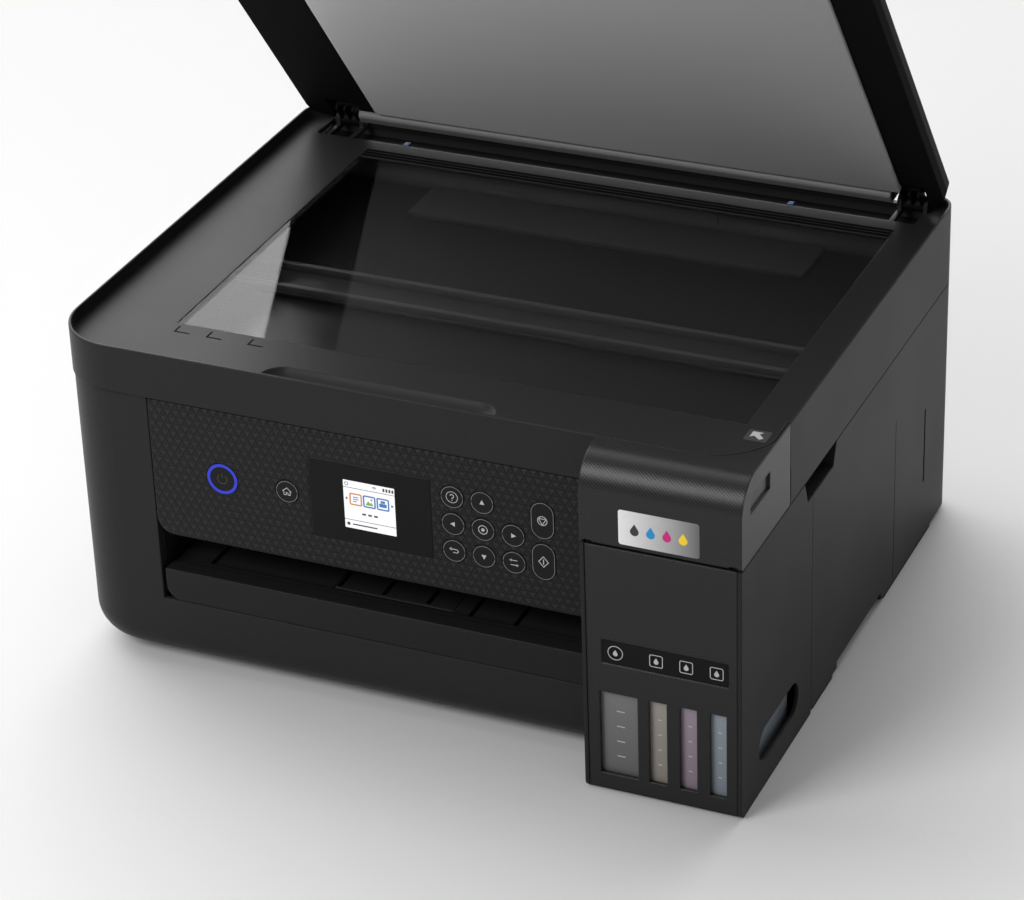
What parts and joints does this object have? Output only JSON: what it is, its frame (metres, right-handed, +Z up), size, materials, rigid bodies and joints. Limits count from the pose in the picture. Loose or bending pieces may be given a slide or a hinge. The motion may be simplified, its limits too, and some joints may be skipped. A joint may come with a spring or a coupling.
{
  "type": "inkjet printer",
  "caption": "Desktop inkjet printer with a flatbed scanner under an open hinged lid, a tilting control panel, a sliding paper tray and refillable ink tanks at the front corner.",
  "frame": {"origin": "centre of the footprint on the table", "axes": "+X to the printer's right seen from its front, +Y to its back, +Z up"},
  "size_m": [0.375, 0.347, 0.4141],
  "materials": {
    "case_plastic": "fine-grained black plastic",
    "lid_plastic": "black plastic",
    "tank_texture": "black plastic with a fine diagonal weave",
    "panel_texture": "black plastic with a small triangle lattice",
    "screen_gloss": "high gloss black",
    "key_plastic": "black, with thin light outlines",
    "power_key": "black with a lit blue ring",
    "clear_glass": "clear float glass",
    "bed_plastic": "dark grey plastic",
    "mat_sheet": "smooth light sheet on foam",
    "foot_rubber": "black rubber",
    "roller_rubber": "grey rubber on steel",
    "steel_sheet": "plated steel",
    "motor_steel": "plated steel can",
    "belt_rubber": "black toothed belt",
    "frame_plastic": "grey plastic",
    "board_green": "circuit board",
    "supply_plastic": "black plastic",
    "tank_clear_black": "translucent, grey tint",
    "tank_clear_yellow": "translucent, beige tint",
    "tank_clear_magenta": "translucent, mauve tint",
    "tank_clear_cyan": "translucent, blue-grey tint",
    "cap_black": "black",
    "cap_yellow": "yellow",
    "cap_magenta": "magenta",
    "cap_cyan": "cyan"
  },
  "bodies": {
    "chassis": {"lower_case": "case_plastic", "rubber_feet": "foot_rubber", "mechanism_base": "frame_plastic", "tank_housing": "case_plastic", "tank_front_plate": "tank_texture", "platen": "supply_plastic", "roller_belt": "belt_rubber", "carriage_rail": "steel_sheet", "carriage_motor": "motor_steel", "carriage_belt": "belt_rubber", "main_board": "board_green", "power_supply": "supply_plastic", "rear_feed": "case_plastic", "ink_tank_black": "tank_clear_black", "ink_tank_yellow": "tank_clear_yellow", "ink_tank_magenta": "tank_clear_magenta", "ink_tank_cyan": "tank_clear_cyan"},
    "scanner": {"scanner_frame": "case_plastic", "scanner_bed": "bed_plastic", "scanner_glass": "clear_glass", "sensor_rail": "bed_plastic"},
    "lid": {"lid_shell": "lid_plastic", "lid_mat": "mat_sheet", "lid_bar": "case_plastic", "lid_hinges": "bed_plastic"},
    "sensor": {"sensor_bar": "supply_plastic"},
    "panel": {"panel_front": "panel_texture", "panel_housing": "supply_plastic", "display_window": "screen_gloss"},
    "tray": {"output_tray": "case_plastic"},
    "tray_outer": {"tray_extension": "case_plastic"},
    "stopper": {"tray_stopper": "case_plastic"},
    "tank_cover": {"tank_cover": "tank_texture"},
    "carriage": {"print_carriage": "supply_plastic", "print_head": "steel_sheet"},
    "drive_pulley": {"drive_pulley": "steel_sheet"},
    "idler_pulley": {"idler_pulley": "frame_plastic"},
    "feed_roller": {"feed_roller": "roller_rubber"},
    "eject_roller": {"eject_roller": "roller_rubber"},
    "support": {"paper_support": "case_plastic"},
    "flap": {"feed_flap": "case_plastic"},
    "guide_left": {"edge_guide_left": "frame_plastic"},
    "guide_right": {"edge_guide_right": "frame_plastic"},
    "key_power": {"button_power": "power_key"},
    "key_home": {"button_home": "key_plastic"},
    "key_help": {"button_help": "key_plastic"},
    "key_up": {"button_up": "key_plastic"},
    "key_left": {"button_left": "key_plastic"},
    "key_enter": {"button_enter": "key_plastic"},
    "key_right": {"button_right": "key_plastic"},
    "key_back": {"button_back": "key_plastic"},
    "key_down": {"button_down": "key_plastic"},
    "key_swap": {"button_swap": "key_plastic"},
    "key_stop": {"button_stop": "key_plastic"},
    "key_start": {"button_start": "key_plastic"},
    "cap_black": {"tank_cap_black": "cap_black"},
    "cap_yellow": {"tank_cap_yellow": "cap_yellow"},
    "cap_magenta": {"tank_cap_magenta": "cap_magenta"},
    "cap_cyan": {"tank_cap_cyan": "cap_cyan"}
  },
  "joints": [
    {"name": "scanner_lift", "type": "hinge", "parent": "chassis", "child": "scanner", "pos_m": [0, 0.143, 0.157], "axis": [-1, 0, 0], "range_deg": [0, 20]},
    {"name": "lid_hinge", "type": "hinge", "parent": "scanner", "child": "lid", "pos_m": [0, 0.145, 0.178], "axis": [-1, 0, 0], "range_deg": [-52, 12]},
    {"name": "sensor_travel", "type": "slide", "parent": "scanner", "child": "sensor", "axis": [1, 0, 0], "range_m": [0, 0.31]},
    {"name": "panel_tilt", "type": "hinge", "parent": "chassis", "child": "panel", "pos_m": [0, -0.1454, 0.1531], "axis": [-1, 0, 0], "range_deg": [0, 60]},
    {"name": "press_power", "type": "slide", "parent": "panel", "child": "key_power", "axis": [0, 1, 0], "range_m": [0, 0.0008], "stiffness_N_per_m": 400},
    {"name": "press_home", "type": "slide", "parent": "panel", "child": "key_home", "axis": [0, 1, 0], "range_m": [0, 0.0008], "stiffness_N_per_m": 400},
    {"name": "press_help", "type": "slide", "parent": "panel", "child": "key_help", "axis": [0, 1, 0], "range_m": [0, 0.0008], "stiffness_N_per_m": 400},
    {"name": "press_up", "type": "slide", "parent": "panel", "child": "key_up", "axis": [0, 1, 0], "range_m": [0, 0.0008], "stiffness_N_per_m": 400},
    {"name": "press_left", "type": "slide", "parent": "panel", "child": "key_left", "axis": [0, 1, 0], "range_m": [0, 0.0008], "stiffness_N_per_m": 400},
    {"name": "press_enter", "type": "slide", "parent": "panel", "child": "key_enter", "axis": [0, 1, 0], "range_m": [0, 0.0008], "stiffness_N_per_m": 400},
    {"name": "press_right", "type": "slide", "parent": "panel", "child": "key_right", "axis": [0, 1, 0], "range_m": [0, 0.0008], "stiffness_N_per_m": 400},
    {"name": "press_back", "type": "slide", "parent": "panel", "child": "key_back", "axis": [0, 1, 0], "range_m": [0, 0.0008], "stiffness_N_per_m": 400},
    {"name": "press_down", "type": "slide", "parent": "panel", "child": "key_down", "axis": [0, 1, 0], "range_m": [0, 0.0008], "stiffness_N_per_m": 400},
    {"name": "press_swap", "type": "slide", "parent": "panel", "child": "key_swap", "axis": [0, 1, 0], "range_m": [0, 0.0008], "stiffness_N_per_m": 400},
    {"name": "press_stop", "type": "slide", "parent": "panel", "child": "key_stop", "axis": [0, 1, 0], "range_m": [0, 0.0008], "stiffness_N_per_m": 400},
    {"name": "press_start", "type": "slide", "parent": "panel", "child": "key_start", "axis": [0, 1, 0], "range_m": [0, 0.0008], "stiffness_N_per_m": 400},
    {"name": "tray_pull", "type": "slide", "parent": "chassis", "child": "tray", "axis": [0, -1, 0], "range_m": [0, 0.1]},
    {"name": "tray_extend", "type": "slide", "parent": "tray", "child": "tray_outer", "axis": [0, -1, 0], "range_m": [0, 0.09]},
    {"name": "stopper_flip", "type": "hinge", "parent": "tray_outer", "child": "stopper", "pos_m": [0, -0.129, 0.0535], "axis": [1, 0, 0], "range_deg": [0, 80]},
    {"name": "cover_open", "type": "hinge", "parent": "chassis", "child": "tank_cover", "pos_m": [0, -0.1713, 0.14], "axis": [1, 0, 0], "range_deg": [0, 80]},
    {"name": "cap_open_black", "type": "hinge", "parent": "chassis", "child": "cap_black", "pos_m": [0.1252, -0.1455, 0.1328], "axis": [-1, 0, 0], "range_deg": [0, 85]},
    {"name": "cap_open_yellow", "type": "hinge", "parent": "chassis", "child": "cap_yellow", "pos_m": [0.1451, -0.1455, 0.1328], "axis": [-1, 0, 0], "range_deg": [0, 85]},
    {"name": "cap_open_magenta", "type": "hinge", "parent": "chassis", "child": "cap_magenta", "pos_m": [0.16055, -0.1455, 0.1328], "axis": [-1, 0, 0], "range_deg": [0, 85]},
    {"name": "cap_open_cyan", "type": "hinge", "parent": "chassis", "child": "cap_cyan", "pos_m": [0.1756, -0.1455, 0.1328], "axis": [-1, 0, 0], "range_deg": [0, 85]},
    {"name": "carriage_travel", "type": "slide", "parent": "chassis", "child": "carriage", "axis": [-1, 0, 0], "range_m": [0, 0.232]},
    {"name": "drive_spin", "type": "hinge", "parent": "chassis", "child": "drive_pulley", "pos_m": [0.14, 0.05, 0.098], "axis": [0, 1, 0], "continuous": true},
    {"name": "idler_spin", "type": "hinge", "parent": "chassis", "child": "idler_pulley", "pos_m": [-0.15, 0.05, 0.098], "axis": [0, 1, 0], "continuous": true},
    {"name": "feed_spin", "type": "hinge", "parent": "chassis", "child": "feed_roller", "pos_m": [0, 0.028, 0.068], "axis": [1, 0, 0], "continuous": true},
    {"name": "eject_spin", "type": "hinge", "parent": "chassis", "child": "eject_roller", "pos_m": [0, -0.045, 0.068], "axis": [1, 0, 0], "continuous": true},
    {"name": "support_raise", "type": "slide", "parent": "chassis", "child": "support", "axis": [0, 0, 1], "range_m": [0, 0.06]},
    {"name": "flap_open", "type": "hinge", "parent": "chassis", "child": "flap", "pos_m": [0, 0.1658, 0.1416], "axis": [-1, 0, 0], "range_deg": [0, 75]},
    {"name": "guide_left_slide", "type": "slide", "parent": "chassis", "child": "guide_left", "axis": [1, 0, 0], "range_m": [0, 0.05]},
    {"name": "guide_right_slide", "type": "slide", "parent": "chassis", "child": "guide_right", "axis": [-1, 0, 0], "range_m": [0, 0.05]}
  ],
  "couplings": [
    {"joint": "drive_spin", "follows": "carriage_travel", "rad_per_m": -144.93},
    {"joint": "idler_spin", "follows": "carriage_travel", "rad_per_m": -144.93},
    {"joint": "eject_spin", "follows": "feed_spin", "ratio": 1},
    {"joint": "guide_right_slide", "follows": "guide_left_slide", "ratio": 1}
  ]
}
